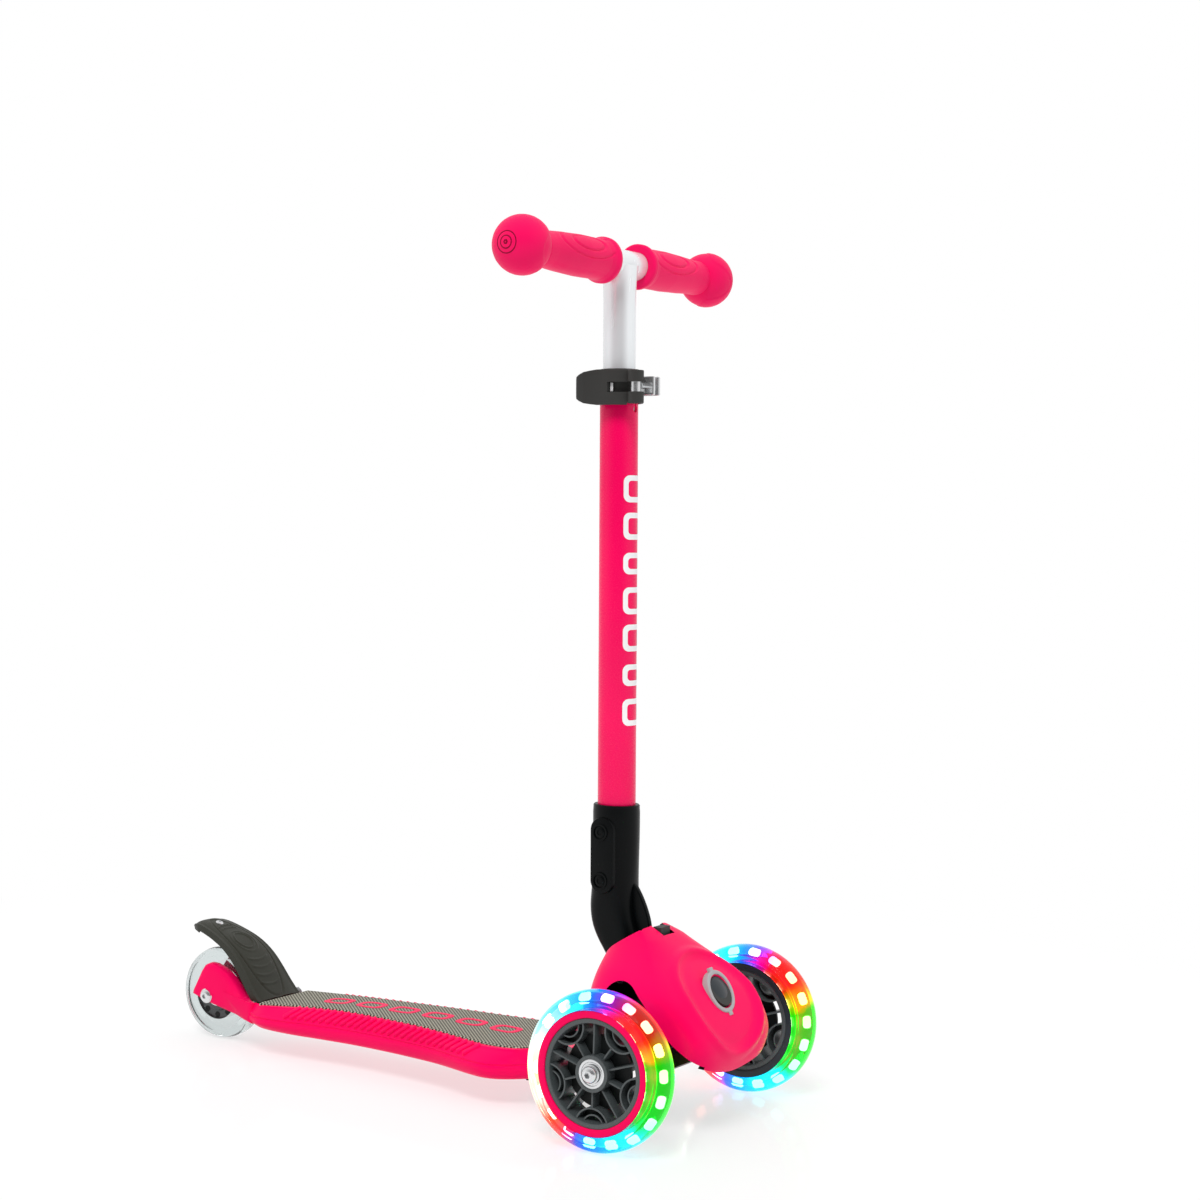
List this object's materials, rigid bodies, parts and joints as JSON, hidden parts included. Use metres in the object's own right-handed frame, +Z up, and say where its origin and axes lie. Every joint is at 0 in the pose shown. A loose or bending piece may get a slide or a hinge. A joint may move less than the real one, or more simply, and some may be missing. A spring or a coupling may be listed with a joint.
{
  "type": "kick scooter",
  "caption": "Child's folding three-wheeled kick scooter with a T-bar of adjustable height, lean steering, lit clear wheels and a rear fender brake.",
  "frame": {"origin": "middle of the scooter's bounding box, on the floor under the wheels", "axes": "+Z up along the T-bar, -Y is the way it rides, +X to the rider's left"},
  "size_m": [0.32, 0.5575, 0.6856],
  "materials": {
    "red_shell": "satin moulded",
    "red_tube": "satin powder coat",
    "black_plastic": "fine grain",
    "olive_rubber": "fine texture",
    "clear_tyre": "clear cast polyurethane",
    "light_band": "milky strip of small lamps",
    "grey_hub": "satin",
    "steel": "bright zinc",
    "alloy_tube": "satin anodised",
    "red_grip": "soft matte",
    "grey_bezel": "satin",
    "spring_steel": "plain"
  },
  "bodies": {
    "deck_frame": {"deck": "red_shell", "grip_mat": "olive_rubber", "deck_inlays": "red_shell", "front_chassis": "black_plastic", "underside_cover": "black_plastic", "front_shield": "red_shell", "button_bezel": "grey_bezel", "steer_buffers": "black_plastic", "left_kingpin": "steel", "right_kingpin": "steel", "hinge_bolt": "steel", "hinge_nut": "steel", "latch_spring": "spring_steel", "rear_axle_bolt": "steel", "rear_axle_nut": "steel", "rear_spacers": "steel", "brake_pin": "steel", "brake_spring": "spring_steel"},
    "left_steering": {"left_knuckle": "black_plastic", "left_axle_bolt": "steel"},
    "right_steering": {"right_knuckle": "black_plastic", "right_axle_bolt": "steel"},
    "tie_rod": {"tie_rod": "black_plastic"},
    "left_wheel": {"left_tyre": "clear_tyre", "left_light_band": "light_band", "left_trim_ring": "red_shell", "left_hub": "grey_hub", "left_bearings": "steel"},
    "right_wheel": {"right_tyre": "clear_tyre", "right_light_band": "light_band", "right_trim_ring": "red_shell", "right_hub": "grey_hub", "right_bearings": "steel"},
    "rear_wheel": {"rear_tyre": "clear_tyre", "rear_hub": "grey_hub", "rear_bearings": "steel"},
    "stem": {"stem_holder": "black_plastic", "lower_tube": "red_tube", "upper_holder_screw": "steel", "lower_holder_screw": "steel", "clamp_collar": "black_plastic", "clamp_ears": "steel", "clamp_bolt": "steel", "clamp_nut": "steel", "clamp_barrel": "steel"},
    "clamp_lever": {"clamp_lever": "black_plastic"},
    "handlebar": {"upper_tube": "alloy_tube", "cross_tube": "alloy_tube", "left_grip": "red_grip", "right_grip": "red_grip", "left_grip_cap": "red_grip", "right_grip_cap": "red_grip"},
    "lock_button": {"lock_button": "black_plastic"},
    "fold_latch": {"fold_latch": "black_plastic"},
    "rear_brake": {"brake_fender": "olive_rubber", "brake_wear_plate": "steel", "brake_screw": "steel"}
  },
  "joints": [
    {"name": "left_steer", "type": "hinge", "parent": "deck_frame", "child": "left_steering", "pos_m": [0.048, -0.20825, 0.066], "axis": [0, -0.8192, 0.5736], "range_deg": [-18, 18], "stiffness_Nm_per_rad": 2},
    {"name": "right_steer", "type": "hinge", "parent": "deck_frame", "child": "right_steering", "pos_m": [-0.048, -0.20825, 0.066], "axis": [0, -0.8192, 0.5736], "range_deg": [-18, 18]},
    {"name": "tie_rod_pivot", "type": "hinge", "parent": "left_steering", "child": "tie_rod", "pos_m": [0.048, -0.22087, 0.04798], "axis": [0, -0.8192, 0.5736], "range_deg": [-18, 18]},
    {"name": "left_wheel_spin", "type": "hinge", "parent": "left_steering", "child": "left_wheel", "pos_m": [0.11525, -0.21825, 0.0605], "axis": [1, 0, 0], "continuous": true},
    {"name": "right_wheel_spin", "type": "hinge", "parent": "right_steering", "child": "right_wheel", "pos_m": [-0.11525, -0.21825, 0.0605], "axis": [1, 0, 0], "continuous": true},
    {"name": "rear_wheel_spin", "type": "hinge", "parent": "deck_frame", "child": "rear_wheel", "pos_m": [0, 0.23875, 0.04], "axis": [1, 0, 0], "continuous": true},
    {"name": "stem_fold", "type": "hinge", "parent": "deck_frame", "child": "stem", "pos_m": [0, -0.17825, 0.112], "axis": [-1, 0, 0], "range_deg": [0, 78]},
    {"name": "bar_height", "type": "slide", "parent": "stem", "child": "handlebar", "axis": [0, 0.0269, 0.9996], "range_m": [0, 0.134]},
    {"name": "clamp_lever_swing", "type": "hinge", "parent": "stem", "child": "clamp_lever", "pos_m": [-0.016, -0.17235, 0.56834], "axis": [0, 0.0269, 0.9996], "range_deg": [0, 110]},
    {"name": "steering_lock_press", "type": "slide", "parent": "deck_frame", "child": "lock_button", "axis": [0, 0.8192, -0.5736], "range_m": [0, 0.004], "stiffness_N_per_m": 600, "springref_m": -0.001},
    {"name": "fold_latch_press", "type": "slide", "parent": "deck_frame", "child": "fold_latch", "axis": [0, 0, -1], "range_m": [0, 0.005], "stiffness_N_per_m": 800, "springref_m": -0.001, "deforming": ["latch_spring"]},
    {"name": "brake_press", "type": "hinge", "parent": "deck_frame", "child": "rear_brake", "pos_m": [0, 0.18275, 0.041], "axis": [-1, 0, 0], "range_deg": [0, 3.4], "stiffness_Nm_per_rad": 6, "springref_deg": -3.44}
  ],
  "couplings": [
    {"joint": "right_steer", "follows": "left_steer", "ratio": 1},
    {"joint": "tie_rod_pivot", "follows": "left_steer", "ratio": -1}
  ]
}
